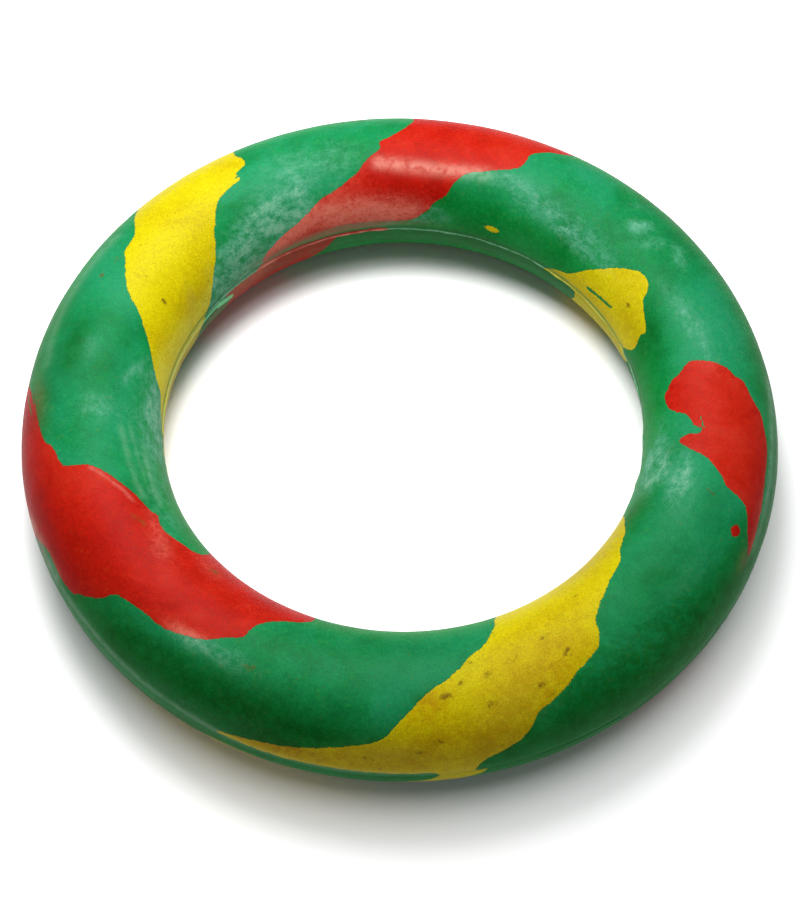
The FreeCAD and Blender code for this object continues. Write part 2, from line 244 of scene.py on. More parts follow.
# Pale lines on the skin, rubbed scratches and painted highlights: (places on the line, half width
# mm, strength)
WORN_AND_LIT_LINES = [
    ([(206, 14), (212, 17), (218, 18), (226, 17), (234, 15), (241, 13), (246, 10), (252, 8.5),
      (262, 8), (274, 7.5)], 1.0, 0.62),
    ([(200, 12), (204, 16), (207, 17.5), (210, 18)], 2.2, 1.0),
    ([(194, 4), (198, 5), (202, 9)], 1.6, 0.8),
    # Painted highlight along the left outer side of the tube
    ([(148, 55), (155, 50), (162, 48), (170, 49), (175, 52)], 1.5, 0.28),
    ([(198.5, 90), (200, 96), (202.2, 102), (204.8, 109), (207.5, 112.5)], 0.42, 0.34),
    ([(190, 120), (195, 122), (200, 123), (207, 122)], 0.8, 0.26),
    ([(194, 139), (199, 139), (204, 137), (209, 135)], 0.8, 0.32),
    ([(188, 128), (194, 131), (200, 132), (206, 130)], 0.5, 0.20),
    ([(334, 26), (340, 29), (346, 32), (352, 35), (358, 34), (364, 31)], 1.2, 0.50),
    ([(268, 163), (276, 166), (284, 165)], 0.6, 0.4),
    # Painted highlight: a lamp's soft reflection along the back of the tube
    ([(95, 113), (90, 116), (84, 118), (78, 117), (72, 115)], 1.7, 0.80),
]
# Painted light: pale skin on the edge of the lower half's lip in the hole, where it catches the
# light
LIT_LIP_LINES = [
    ([(139, 188.6), (141, 186.6), (143.5, 184)], 0.85, 1.0),
    ([(143, 183.2), (150, 183.2), (158, 183), (166, 182.5), (176, 182), (184, 181.5)], 0.5, 0.8),
]
# Nicks that leave the green showing: (what they cut, places on the line, half width mm)
NICKS = [
    ("yellow_in", [(29.5, 158.5), (33, 161), (38, 164)], 0.38),
    ("red_in", [(176, 27), (179, 36), (182, 43)], 0.30),
    ("red_in", [(179, 27), (181.5, 35), (184, 41)], 0.22),
    ("yellow_in", [(121, 85), (124.5, 90)], 0.25),
    ("red_in", [(350.5, 103), (353, 106)], 0.2),
]

# How finely the pieces are built
COLUMNS = 840
SKIN_ROWS = 92
LAND_ROWS_MM = (0.0, 0.2, 0.45, 0.9, 1.5)
AIR_ROWS = 7
CURVE_STEPS = 6
NO_INLAY = -1
# A place counts as near an outline within this many degrees of it, and as far beyond these mm
NEAR_THETA, NEAR_PHI, FAR_MM = 8, 20, 6.0
ON_EDGE = 1e-4  # no grid place lies nearer an edge, in mm
NEAREST_CUT = 0.06  # nor is a cell's side cut nearer its end, as a share of the side


def smooth_outline(corners):
    """More places along a closed outline, on a smooth curve that passes through its corners."""
    places = []
    for i in range(len(corners)):
        before, start, end, after = (
            np.array(corners[(i + k) % len(corners)], float) for k in (-1, 0, 1, 2)
        )
        for step in range(CURVE_STEPS):
            t = step / CURVE_STEPS
            places.append(0.5 * (
                2 * start + (end - before) * t
                + (2 * before - 5 * start + 4 * end - after) * t ** 2
                + (3 * start - before - 3 * end + after) * t ** 3
            ))
    return np.array(places)


def skin_scale(phi):
    """Millimetres along the skin for one degree of ring angle and for one of tube angle."""
    across = (RING_R + TUBE_R * np.cos(np.radians(phi))) / MM
    return np.radians(1) * across, np.radians(1) * TUBE_R / MM


def distance_to(theta, phi, starts, ends):
    """How far places lie from a line of spans, in mm, and how often a ray from them crosses it."""
    per_theta, per_phi = skin_scale(phi)
    nearest = np.full(theta.shape, 1e9)
    crossings = np.zeros(theta.shape, int)
    for a, b in zip(starts, ends):
        ax, ay = (a[0] - theta) * per_theta, (a[1] - phi) * per_phi
        bx, by = (b[0] - theta) * per_theta, (b[1] - phi) * per_phi
        dx, dy = bx - ax, by - ay
        t = np.clip(-(ax * dx + ay * dy) / (dx * dx + dy * dy + 1e-12), 0, 1)
        nearest = np.minimum(nearest, np.hypot(ax + t * dx, ay + t * dy))
        with np.errstate(divide="ignore", invalid="ignore"):
            crossings += ((ay > 0) != (by > 0)) & (ax - ay * dx / dy > 0)
    return nearest, crossings


def distance_inside(theta, phi, outline):
    """How far places lie inside a closed outline, in mm. Outside it the distance is negative."""
    nearest, crossings = distance_to(theta, phi, outline, np.roll(outline, -1, axis=0))
    return np.where(crossings % 2 == 1, nearest, -nearest)


def near_box(theta, phi, low, high):
    """Which places lie in a box of angles, or near it."""
    along = (theta > low[0] - NEAR_THETA) & (theta < high[0] + NEAR_THETA)
    return along & (phi > low[1] - NEAR_PHI) & (phi < high[1] + NEAR_PHI)


def distance_to_line(theta, phi, places, reach=FAR_MM):
    """How far places lie from an open line, in mm, up to reach."""
    places = np.array(places, float)
    result = np.full(theta.shape, reach)
    low, high = places.min(0), places.max(0)
    for turn in (0, 360):
        t = theta + turn
        near = near_box(t, phi, low, high)
        if near.any():
            away = distance_to(t[near], phi[near], places[:-1], places[1:])[0]
            result[near] = np.minimum(result[near], away)
    return result


def field_of(corners, theta, phi, reach=FAR_MM):
    """distance_inside for every place of the grid, worked out only near the outline."""
    outline = smooth_outline(corners)
    field = np.full(theta.shape, -reach)
    low, high = outline.min(0), outline.max(0)
    for turn in (-360, 0, 360):
        t = theta + turn
        near = near_box(t, phi, low, high)
        if near.any():
            field[near] = np.maximum(field[near], distance_inside(t[near], phi[near], outline))
    return np.clip(field, -reach, reach)


def noise_at(points, scale_mm, offset=0.0, octaves=3):
    """Fractal noise, about -1 to 1, with features of this size."""
    k = 1 / (scale_mm * MM)
    shift = Vector((offset, offset * 0.7, -offset * 0.4))
    values = [noise.fractal(Vector(p) * k + shift, 0.9, 2.1, octaves) for p in points]
    return np.array(values)


def marks_at(marks, theta, phi):
    """The strength, 0 to 1, of soft oval marks at each place."""
    per_theta, per_phi = skin_scale(phi)
    total = np.zeros(theta.shape)
    for centre, height, half_length, half_width, turn, strength in marks:
        along = ((theta - centre + 180) % 360 - 180) * per_theta
        up = (phi - height) * per_phi
        c, s = math.cos(math.radians(turn)), math.sin(math.radians(turn))
        a, b = along * c + up * s, up * c - along * s
        total += strength * np.exp(-(a / half_length) ** 2 - (b / half_width) ** 2)
    return np.clip(total, 0, 1)


class Skin:
    """The fine grid over one half's skin, and where the coloured pieces' edges cross it."""

    def __init__(self, inlays, side, shift_share):
        self.names = list(inlays)
        self.shift = np.array([shift_share * MOULD_SHIFT[0], shift_share * MOULD_SHIFT[1], 0])
        self.lay_grid(side)
        smooth = self.shape(side)
        self.find_pieces(inlays, smooth)
        self.lay_marks()
        self.cut_cells()

    def lay_grid(self, side):
        """The grid's places: its rows run round the ring, from the outer seam to the inner one."""
        land = math.asin(LAND_HEIGHT / TUBE_R)
        reach = TUBE_R * math.cos(land)
        turns = np.linspace(land, math.pi - land, SKIN_ROWS + 1)
        heights = np.array(LAND_ROWS_MM) * MM
        out = np.concatenate([
            np.full(heights.size, reach), TUBE_R * np.cos(turns), np.full(heights.size, -reach)
        ]) * side
        up = np.concatenate([heights, TUBE_R * np.sin(turns), heights[::-1]]) * side
        phi = np.degrees(np.arctan2(side * up, side * out)) + (0 if side > 0 else 180)
        theta = np.arange(COLUMNS) * 360 / COLUMNS
        self.rows = phi.size
        self.theta, self.phi = np.meshgrid(theta, phi)
        self.theta, self.phi = self.theta.ravel(), self.phi.ravel()
        self.out, self.up = np.repeat(out, COLUMNS), np.repeat(up, COLUMNS)
        self.around, self.turn = np.radians(self.theta), np.radians(self.phi)
        self.seam_open = np.clip(
            SEAM_SHARE + np.cos(self.around - math.radians(SEAM_SIDE)), 0, 1
        )

    def shape(self, side):
        """Places the skin and the pockets' floor. Returns the skin before any unevenness."""
        around, turn, out, up = self.around, self.turn, self.out, self.up
        near_seam = np.clip(1 - np.abs(up) / FLUSH_HEIGHT, 0, 1)
        flush = (1 - self.seam_open) * (out > 0) * near_seam

        def place(reach_out, reach_up):
            across = RING_R + reach_out
            return np.stack(
                [across * np.cos(around), across * np.sin(around), reach_up], 1
            ) + self.shift * (1 - flush)[:, None]

        smooth = place(out, up)
        swell = (0.10 * noise_at(smooth, 34, side) + 0.03 * noise_at(smooth, 9, 3 + side)) * MM
        above_rest = np.clip(2.0 + 2.2 * up / TUBE_R, 0, 1)
        swell += UNEVENNESS * np.cos(around - math.radians(THICK_SIDE)) * above_rest
        torn = np.clip(0.55 + noise_at(smooth, 7, 11), 0, 1.2)
        lip_in_mm = LIP_IN_UPPER_MM if side > 0 else LIP_IN_LOWER_MM
        lip = np.where(out > 0, LIP_OUT_MM * self.seam_open, lip_in_mm) * MM
        flash = lip * torn * np.clip(1 - np.abs(up) / LIP_HEIGHT, 0, 1)
        self.top = place(
            out + swell * np.cos(turn) + flash * np.sign(out), up + swell * np.sin(turn)
        )
        floor = TUBE_R - INLAY_DEPTH
        self.floor = place(floor * np.cos(turn), floor * np.sin(turn))
        grid = self.top.reshape(self.rows, COLUMNS, 3)
        along = np.roll(grid, -1, 1) - np.roll(grid, 1, 1)
        normal = np.cross(along, np.gradient(grid, axis=0)).reshape(-1, 3)
        self.normal = normal / np.linalg.norm(normal, axis=1)[:, None]
        return smooth

    def find_pieces(self, inlays, smooth):
        """How deep each place lies in a coloured piece with ragged edges, and in which one."""
        rag = 0.17 * noise_at(smooth, 1.4, 5) + 0.15 * noise_at(smooth, 9, 7, 2)
        fields = []
        for name, corners in inlays.items():
            small = name.endswith(("fleck_right", "fleck_back")) or "sliver" in name
            field = field_of(corners, self.theta, self.phi)
            fields.append(field + rag * (SMALL_PIECE_RAG if small else 1.0))
        fields = np.array(fields)
        self.inside = fields.max(0)
        self.inside[np.abs(self.inside) < ON_EDGE] = ON_EDGE
        self.label = np.where(self.inside > 0, fields.argmax(0), NO_INLAY)
        red = np.array(["red" in name for name in self.names])
        self.layers = {"red_in": fields[red].max(0), "yellow_in": fields[~red].max(0)}

    def lay_marks(self):
        """The values at each place that the material reads."""
        for layer, marks in (
            ("bloom_and_sheen", BLOOM_AND_SHEEN), ("grime", GRIME), ("soil_and_shade", SOIL_AND_SHADE), ("deep_shade", DEEP_SHADE), ("smear", SMEAR)
        ):
            self.layers[layer] = marks_at(marks, self.theta, self.phi)
        self.layers["seam_open"] = self.seam_open
        for layer, lines in (("worn_and_lit", WORN_AND_LIT_LINES), ("lit_lip_edge", LIT_LIP_LINES)):
            self.layers[layer] = np.zeros(self.theta.shape)
            for places, half_width, strength in lines:
                away = distance_to_line(self.theta, self.phi, places)
                share = strength * np.exp(-(away / half_width) ** 2)
                self.layers[layer] = np.maximum(self.layers[layer], share)
        self.layers["skin_co"] = np.stack([
            RING_R * np.cos(self.around), RING_R * np.sin(self.around), TUBE_R * self.turn
        ], 1)
        for layer, places, half_width in NICKS:
            away = distance_to_line(self.theta, self.phi, places)
            self.layers[layer] = np.minimum(self.layers[layer], away - half_width)

    def cut_cells(self):
        """Sorts the grid's cells into polygons inside and outside the coloured pieces."""
        low, across = np.meshgrid(np.arange(self.rows - 1), np.arange(COLUMNS), indexing="ij")
        low, across = low.ravel(), across.ravel()
        after = (across + 1) % COLUMNS
        cells = np.stack([
            low * COLUMNS + across, low * COLUMNS + after,
            (low + 1) * COLUMNS + after, (low + 1) * COLUMNS + across,
        ], 1)
        inside_corners = (self.inside[cells] > 0).sum(1)
        self.outer_polys = cells[inside_corners == 0].tolist()
        self.inner_polys = cells[inside_corners == 4].tolist()
        crossings = {}
        pairs, shares = [], []
        value = self.inside

        def crossing(a, b):
            key = (min(a, b), max(a, b))
            if key not in crossings:
                crossings[key] = value.size + len(pairs)
                share = value[key[0]] / (value[key[0]] - value[key[1]])
                pairs.append(key)
                shares.append(min(max(share, NEAREST_CUT), 1 - NEAREST_CUT))
            return crossings[key]

        for cell in cells[(inside_corners > 0) & (inside_corners < 4)].tolist():
            ring = []
            for a, b in zip(cell, cell[1:] + cell[:1]):
                ring.append(a)
                if (value[a] > 0) != (value[b] > 0):
                    ring.append(crossing(a, b))
            is_in = [p >= value.size or value[p] > 0 for p in ring]
            is_out = [p >= value.size or value[p] <= 0 for p in ring]
            if len(ring) < 8:
                self.inner_polys.append([p for p, keep in zip(ring, is_in) if keep])
                self.outer_polys.append([p for p, keep in zip(ring, is_out) if keep])
                continue
            joined_in = value[cell].mean() > 0
            for polys, keep, joined in (
                (self.inner_polys, is_in, joined_in), (self.outer_polys, is_out, not joined_in)
            ):
                if joined:
                    polys.append([p for p, k in zip(ring, keep) if k])
                    continue
                for n in range(0, 8, 2):
                    if keep[n]:
                        polys.append([ring[n - 1], ring[n], ring[(n + 1) % 8]])
        self.grid_size = value.size
        self.crossings = crossings
        if not pairs:
            return
        first, second = np.array(pairs).T
        share = np.array(shares)[:, None]

        def between(data):
            s = share if data.ndim > 1 else share[:, 0]
            return np.concatenate([data, data[first] * (1 - s) + data[second] * s])

        self.top, self.floor = between(self.top), between(self.floor)
        normal = between(self.normal)
        self.normal = normal / np.linalg.norm(normal, axis=1)[:, None]
        self.layers = {name: between(data) for name, data in self.layers.items()}

    def label_of(self, poly):
        """Which coloured piece a polygon belongs to."""
        labels = (int(self.label[p]) for p in poly if p < self.grid_size)
        return next(label for label in labels if label != NO_INLAY)


def boundary_edges(polys):
    """The edges, in each polygon's own direction, that only one polygon uses."""
    edges = set()
    for poly in polys:
        for edge in zip(poly, poly[1:] + poly[:1]):
            if (edge[1], edge[0]) in edges:
                edges.remove((edge[1], edge[0]))
            else:
                edges.add(edge)
    return sorted(edges)


def make_piece(name, skin, top_polys, floor_polys, other_polys, extra_points, slot):
    """A mesh piece. A polygon names top points by p, floor points by p + n and extras by p + 2n."""
    n = len(skin.top)
    points = np.concatenate([skin.top, skin.floor, extra_points])
    polys = top_polys + floor_polys + other_polys
    flat = np.array([p for poly in polys for p in poly])
    used, compact = np.unique(flat, return_inverse=True)
    sizes = np.array([len(poly) for poly in polys])
    starts = np.concatenate([[0], np.cumsum(sizes)[:-1]])
    mesh = bpy.data.meshes.new(name)
    mesh.vertices.add(used.size)
    mesh.vertices.foreach_set("co", points[used].astype(np.float32).ravel())
    mesh.loops.add(flat.size)
    mesh.loops.foreach_set("vertex_index", compact.astype(np.int32))
    mesh.polygons.add(sizes.size)
    mesh.polygons.foreach_set("loop_start", starts.astype(np.int32))
    mesh.polygons.foreach_set("loop_total", sizes.astype(np.int32))
    smooth = np.arange(sizes.size) < len(top_polys)
    mesh.polygons.foreach_set("use_smooth", smooth)
    mesh.update(calc_edges=True)
    mesh.validate()
    source = np.where(used < 2 * n, used % n, 0)
    for layer, data in skin.layers.items():
        kind, field = ("FLOAT_VECTOR", "vector") if data.ndim > 1 else ("FLOAT", "value")
        attribute = mesh.attributes.new(layer, kind, "POINT")
        attribute.data.foreach_set(field, data[source].astype(np.float32).ravel())
    top_loops = sizes[:len(top_polys)].sum()
    normals = np.zeros((flat.size, 3))
    normals[:top_loops] = skin.normal[flat[:top_loops]]
    mesh.normals_split_custom_set(normals)
    piece = bpy.data.objects.new(name, mesh)
    bpy.context.scene.collection.objects.link(piece)
    mesh.materials.append(MATERIALS[slot])
    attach(piece, "root")
    return piece


def walls(edges, n):
    """Quads from the skin's edges down to the same edges on the floor."""
    return [[b, a, a + n, b + n] for a, b in edges]


def make_inlays(skin):
    """The coloured pieces of one half: skin, floor and edge, each a closed solid."""
    n = len(skin.top)
    by_label = {}
    for poly in skin.inner_polys:
        by_label.setdefault(skin.label_of(poly), []).append(poly)
    for label, polys in sorted(by_label.items()):
        node = skin.names[label]
        slot = "red_rubber" if "red" in node else "yellow_rubber"
        floor = [[p + n for p in reversed(poly)] for poly in polys]
        piece = make_piece(
            "skin_" + node, skin, polys, floor, walls(boundary_edges(polys), n),
            np.zeros((0, 3)), slot,
        )
        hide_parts(node)


def make_shell(skin, node, side):
    """The green shell of one half: skin, pockets, seam faces and the wall of the air space."""
    n, columns = len(skin.top), COLUMNS
    turn = np.linspace(0, math.pi, AIR_ROWS + 1) + (0 if side > 0 else math.pi)
    around = np.arange(columns) * 2 * math.pi / columns
    turn, around = np.meshgrid(turn, around, indexing="ij")
    across = RING_R + AIR_R * np.cos(turn)
    air = np.stack(
        [across * np.cos(around), across * np.sin(around), AIR_R * np.sin(turn)], -1
    ).reshape(-1, 3) + skin.shift
    base = 2 * n
    others = []
    for row in range(AIR_ROWS):
        for i in range(columns):
            a, b = row * columns + i, row * columns + (i + 1) % columns
            others.append([base + a, base + a + columns, base + b + columns, base + b])
    contour = [
        (a, b) for a, b in boundary_edges(skin.outer_polys)
        if a >= skin.grid_size and b >= skin.grid_size
    ]
    others += walls(contour, n)

    def level(p):
        return p if skin.inside[p] <= 0 else p + n

    for row, air_row in ((0, 0), (skin.rows - 1, AIR_ROWS)):
        for i in range(columns):
            a, b = row * columns + i, row * columns + (i + 1) % columns
            rim = [level(a)]
            cut = skin.crossings.get((min(a, b), max(a, b)))
            if cut is not None:
                rim += [cut, cut + n] if skin.inside[a] <= 0 else [cut + n, cut]
            rim.append(level(b))
            near = base + air_row * columns + i
            far = base + air_row * columns + (i + 1) % columns
            if row == 0:
                others.append(rim[::-1] + [near, far])
            else:
                others.append(rim + [far, near])
    pockets = [[p + n for p in poly] for poly in skin.inner_polys]
    piece = make_piece(
        "skin_" + node, skin, skin.outer_polys, pockets, others, air, "green_rubber"
    )
    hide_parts(node)


class Nodes:
    """Short calls for building one material's nodes."""

    def __init__(self, material):
        material.use_nodes = True
        self.tree = material.node_tree
        self.tree.nodes.clear()

    def add(self, kind, inputs=(), **settings):
        node = self.tree.nodes.new("ShaderNode" + kind)
        for key, value in settings.items():
            setattr(node, key, value)
        for key, value in dict(inputs).items():
            self.put(node.inputs[key], value)
        return node

    def put(self, socket, value):
        if isinstance(value, bpy.types.NodeSocket):
            self.tree.links.new(value, socket)
        elif socket.type == "RGBA":
            socket.default_value = (*value, 1.0) if len(value) == 3 else value
        else:
            socket.default_value = value

    def math(self, operation, a, b=0.0, clamp=False):
        node = self.add("Math", {0: a, 1: b}, operation=operation, use_clamp=clamp)
        return node.outputs[0]

    def times(self, a, b, clamp=False):
        return self.math("MULTIPLY", a, b, clamp)

    def plus(self, a, b, clamp=False):
        return self.math("ADD", a, b, clamp)

    def attribute(self, name, vector=False):
        node = self.add("Attribute", attribute_name=name, attribute_type="GEOMETRY")
        return node.outputs["Vector" if vector else "Fac"]

    def noise(self, where, per_mm, detail=3.0, roughness=0.55, distortion=0.0):
        """Noise, about 0.2 to 0.8, with this many features to the millimetre."""
        node = self.add("TexNoise", {
            "Vector": where, "Scale": per_mm, "Detail": detail, "Roughness": roughness,
            "Distortion": distortion,
        })
        return node.outputs["Fac"]

    def ramp(self, value, low, high, to_low=0.0, to_high=1.0):
        """value from low..high to to_low..to_high, smoothly, and level outside."""
        node = self.add("MapRange", {
            "Value": value, "From Min": low, "From Max": high,
            "To Min": to_low, "To Max": to_high,
        }, interpolation_type="SMOOTHSTEP")
        return node.outputs[0]

    def mix(self, share, a, b, blend="MIX"):
        node = self.add("Mix", data_type="RGBA", blend_type=blend, clamp_factor=True)
        self.put(node.inputs[0], share)
        self.put(node.inputs[6], a)
        self.put(node.inputs[7], b)
        return node.outputs[2]

    def shaded(self, colour, factor):
        """A colour made lighter or darker by a factor."""
        grey = self.add("CombineColor", {0: factor, 1: factor, 2: factor}).outputs[0]
        return self.mix(1.0, colour, grey, "MULTIPLY")


# The tones of each compound, in this order. The third is a paler tone painted as light on the top;
# the fourth and fifth also paint sheen and highlights.
DARK, PLAIN, LIT_TOP, BLOOMED_AND_SHEEN, RUBBED_AND_LIT = range(5)
GREEN_TONES = ((0.0008, 0.106, 0.014), (0.0012, 0.150, 0.026), (0.038, 0.260, 0.280),
               (0.050, 0.220, 0.125), (0.140, 0.300, 0.190))
RED_TONES = ((0.235, 0.0022, 0.0007), (0.305, 0.0036, 0.0012), (0.400, 0.042, 0.013),
             (0.450, 0.095, 0.066), (0.480, 0.170, 0.130))
YELLOW_TONES = ((0.330, 0.250, 0.0006), (0.385, 0.320, 0.0008), (0.430, 0.410, 0.002),
                (0.420, 0.370, 0.026), (0.440, 0.420, 0.070))
# The second and third of these are painted light, for the lit lip in the hole
BROWN, LIT_MINT, LIT_LIME = (0.085, 0.042, 0.003), (0.14, 0.47, 0.22), (0.38, 0.45, 0.14)
# The first two of these are painted shadow, for the shade under the seam in the hole
SEAM_SHADOW, OLIVE_SHADOW, SMEARED = (0.026, 0.052, 0.022), (0.090, 0.170, 0.024), (0.200, 0.095, 0.060)
# What soiling with its painted shade, and deeper painted shade, multiply a colour by
SOILED_AND_SHADED, DEEPER_SHADE = (0.72, 0.47, 0.12), (0.40, 0.52, 0.25)
EDGE_BLUR = 0.04  # mm either side of a coloured piece's edge
GLOSS = 0.03  # specular level


class Rubber(Nodes):
    """Marbled rubber's nodes, and what its layers share: places in mm, compounds and noises."""

    def __init__(self, material):
        super().__init__(material)
        self.place = self.in_mm(self.add("TexCoord").outputs["Object"])
        self.skin = self.in_mm(self.attribute("skin_co", True))
        self.height = self.math("ABSOLUTE", self.third(self.place))
        self.past_seam_in = self.math("SUBTRACT", self.third(self.skin), math.pi * TUBE_R / MM)

        rag = self.math("SUBTRACT", self.noise(self.place, 2.2, 4.0, 0.6), 0.5)
        rag = self.times(rag, 0.9)
        self.red_depth = self.plus(self.attribute("red_in"), rag)
        self.yellow_depth = self.plus(self.attribute("yellow_in"), rag)
        self.red_share = self.ramp(self.red_depth, -EDGE_BLUR, EDGE_BLUR)
        self.yellow_share = self.ramp(self.yellow_depth, -EDGE_BLUR, EDGE_BLUR)

        self.broad = self.noise(self.place, 0.045, 4.0, 0.55, 0.6)
        self.cloud = self.noise(self.place, 0.16, 5.0, 0.6, 0.4)
        self.patch = self.noise(self.place, 0.42, 5.0, 0.62, 0.5)
        self.mottle = self.noise(self.place, 0.9, 4.0, 0.65)
        self.grain = self.noise(self.place, 4.0, 3.0, 0.7)

    def in_mm(self, vector):
        node = self.add("VectorMath", {0: vector, "Scale": 1 / MM}, operation="SCALE")
        return node.outputs[0]

    def third(self, vector):
        return self.add("SeparateXYZ", {0: vector}).outputs[2]

    def by_red(self, elsewhere, on_red):
        return self.ramp(self.red_share, 0.0, 1.0, elsewhere, on_red)

    def by_yellow(self, elsewhere, on_yellow):
        return self.ramp(self.yellow_share, 0.0, 1.0, elsewhere, on_yellow)

    def tone(self, number):
        """One of the compounds' tones, whichever compound shows."""
        colour = self.mix(self.red_share, GREEN_TONES[number], RED_TONES[number])
        return self.mix(self.yellow_share, colour, YELLOW_TONES[number])


def plain_colour(n):
    """The compounds' own colours, darker in soft patches and finely grained."""
    patchy = n.ramp(n.plus(n.times(n.broad, 0.6), n.times(n.cloud, 0.4)), 0.30, 0.58)
    green, red, yellow = (
        n.mix(patchy, tones[DARK], tones[PLAIN]) for tones in (GREEN_TONES, RED_TONES, YELLOW_TONES)
    )
    colour = n.mix(n.yellow_share, n.mix(n.red_share, green, red), yellow)
    grainy = n.ramp(n.grain, 0.25, 0.75, 0.66, 1.34)
    return n.shaded(colour, n.times(grainy, n.ramp(n.mottle, 0.3, 0.7, 0.90, 1.10)))


def bloom_and_sheen_strength(n):
    """How strongly pale blooming and painted sheen show: nearly even on red, streaky elsewhere."""
    across = n.add("VectorMath", {0: n.skin, 1: (0.40, 0.40, 1.0)}, operation="MULTIPLY")
    streaks = n.noise(across.outputs[0], 0.50, 6.0, 0.66, 0.3)
    softly = n.plus(n.ramp(streaks, 0.38, 0.66, 0.0, 0.46), n.ramp(n.patch, 0.36, 0.66, 0.0, 0.40))
    softly = n.plus(n.times(softly, n.by_red(1.0, 0.45)), n.by_red(0.22, 0.46))
    speckle = n.ramp(n.plus(n.times(n.grain, 0.6), n.times(n.mottle, 0.4)), 0.36, 0.64, 0.55, 1.35)
    return n.times(n.times(n.attribute("bloom_and_sheen"), softly, True), speckle)


def with_bloom_and_sheen(n, colour, bloom_and_sheen):
    """A colour with a paler painted-light tone on top, faint haze, pale blooming with painted sheen,
    rub marks and painted highlights.
    """
    # Painted light: the top of the tube, and by the same test its underside, takes a paler tone
    top = n.times(n.ramp(n.height, 8.0, 15.5), n.ramp(n.broad, 0.36, 0.64, 0.06, 0.15))
    colour = n.mix(top, colour, n.tone(LIT_TOP))
    less_on_yellow = n.by_yellow(1.0, 0.35)
    haze = n.times(n.ramp(n.broad, 0.42, 0.66), n.ramp(n.cloud, 0.38, 0.66))
    haze = n.times(n.times(haze, 0.08), less_on_yellow)
    thick = n.times(n.ramp(bloom_and_sheen, 0.0, 0.66), n.by_yellow(1.0, 0.7))
    colour = n.mix(n.plus(haze, thick, True), colour, n.tone(BLOOMED_AND_SHEEN))
    # Pale lines, both rub marks and painted highlights, take the pale tone
    worn_and_lit = n.times(n.attribute("worn_and_lit"), n.ramp(n.patch, 0.32, 0.58, 0.40, 1.0))
    fresh = n.times(n.ramp(bloom_and_sheen, 0.46, 1.0, 0.0, 0.75), less_on_yellow)
    fresh = n.times(fresh, n.by_red(1.0, 0.5))
    return n.mix(n.math("MAXIMUM", worn_and_lit, fresh), colour, n.tone(RUBBED_AND_LIT))


def with_dirt_and_shade(n, colour):
    """A colour with its smears, grime and soiled places, and painted shade where the ring faces away
    from the light (in places also cleaner skin).
    """
    smear = n.times(n.attribute("smear"), n.ramp(n.mottle, 0.34, 0.62, 0.65, 1.0))
    colour = n.mix(smear, colour, SMEARED)
    grime = n.plus(n.attribute("grime"), n.ramp(n.mottle, 0.25, 0.75, -0.40, 0.40))
    grime = n.times(n.ramp(grime, 0.15, 0.85), 0.80)
    specks = n.times(n.ramp(n.noise(n.place, 1.1, 2.0), 0.68, 0.76), n.ramp(n.cloud, 0.45, 0.62))
    specks = n.times(specks, n.by_yellow(0.30, 0.7))
    colour = n.mix(n.plus(grime, specks, True), colour, BROWN)
    # Soiling, partly painted shade on the lower outer side
    soil_and_shade = n.times(n.attribute("soil_and_shade"), n.ramp(n.patch, 0.34, 0.62, 0.40, 1.0))
    colour = n.mix(soil_and_shade, colour, n.mix(1.0, colour, SOILED_AND_SHADED, "MULTIPLY"))
    # Painted shade: darker, partly cleaner skin where the ring faces away from the light
    deep_shade = n.times(n.attribute("deep_shade"), n.ramp(n.cloud, 0.30, 0.60, 1.0, 0.82))
    deep_shade = n.times(n.times(deep_shade, n.by_yellow(1.0, 0.35)), n.by_red(1.0, 0.25))
    return n.mix(deep_shade, colour, n.mix(1.0, colour, DEEPER_SHADE, "MULTIPLY"))


def with_seams(n, colour):
    """A colour with what shows at the two seams, with painted shadow and painted light in the hole.
    Past the seam in the hole is the lower half.
    """
    past = n.past_seam_in
    # Painted shadow: a dark stripe under the seam in the hole, where the upper half overhangs
    shadow_band = n.times(n.ramp(past, 0.0, 0.1), n.ramp(past, 4.0, 7.0, 1.0, 0.4))
    shadow_band = n.times(n.times(shadow_band, 0.50), n.by_yellow(1.0, 0.35))
    strip_end = n.math("SUBTRACT", past, n.by_yellow(0.0, 0.3))
    strip = n.times(n.ramp(past, -1.6, -1.4), n.ramp(strip_end, -0.6, -0.4, 1.0, 0.0))
    strip = n.times(strip, n.by_yellow(0.42, 0.85))
    seam_shade = n.times(n.plus(shadow_band, strip), n.ramp(n.patch, 0.3, 0.65, 0.6, 1.0))
    colour = n.mix(seam_shade, colour, n.mix(n.yellow_share, SEAM_SHADOW, OLIVE_SHADOW))
    # Painted light on the edge of the lower half's lip in the hole
    lit_lip_share = n.ramp(n.attribute("lit_lip_edge"), 0.2, 0.7, 0.0, 0.9)
    colour = n.mix(lit_lip_share, colour, n.mix(n.yellow_share, LIT_MINT, LIT_LIME))
    ridge = n.times(n.ramp(past, -0.50, -0.30), n.ramp(past, 0.0, 0.05, 1.0, 0.0))
    ridge = n.times(ridge, n.ramp(n.patch, 0.36, 0.56, 0.25, 0.85))
    colour = n.mix(ridge, colour, n.tone(RUBBED_AND_LIT))
    line_outside = n.times(n.ramp(n.height, 0.05, 0.45, 0.55, 0.0), n.attribute("seam_open"))
    line_outside = n.times(line_outside, n.ramp(n.math("ABSOLUTE", past), 10.0, 20.0))
    return n.shaded(colour, n.math("SUBTRACT", 1.0, line_outside))


def relief(n, edge):
    """Fine grain, soft unevenness and a shallow groove where two compounds meet."""
    groove = n.ramp(edge, 0.0, 0.30, -1.0, 0.0)
    heights = n.plus(n.times(n.grain, 0.030), n.times(n.mottle, 0.08))
    heights = n.plus(heights, n.times(groove, 0.030))
    heights = n.plus(heights, n.times(n.cloud, 0.16))
    return n.add("Bump", {"Height": heights, "Strength": 0.9, "Distance": MM}).outputs[0]


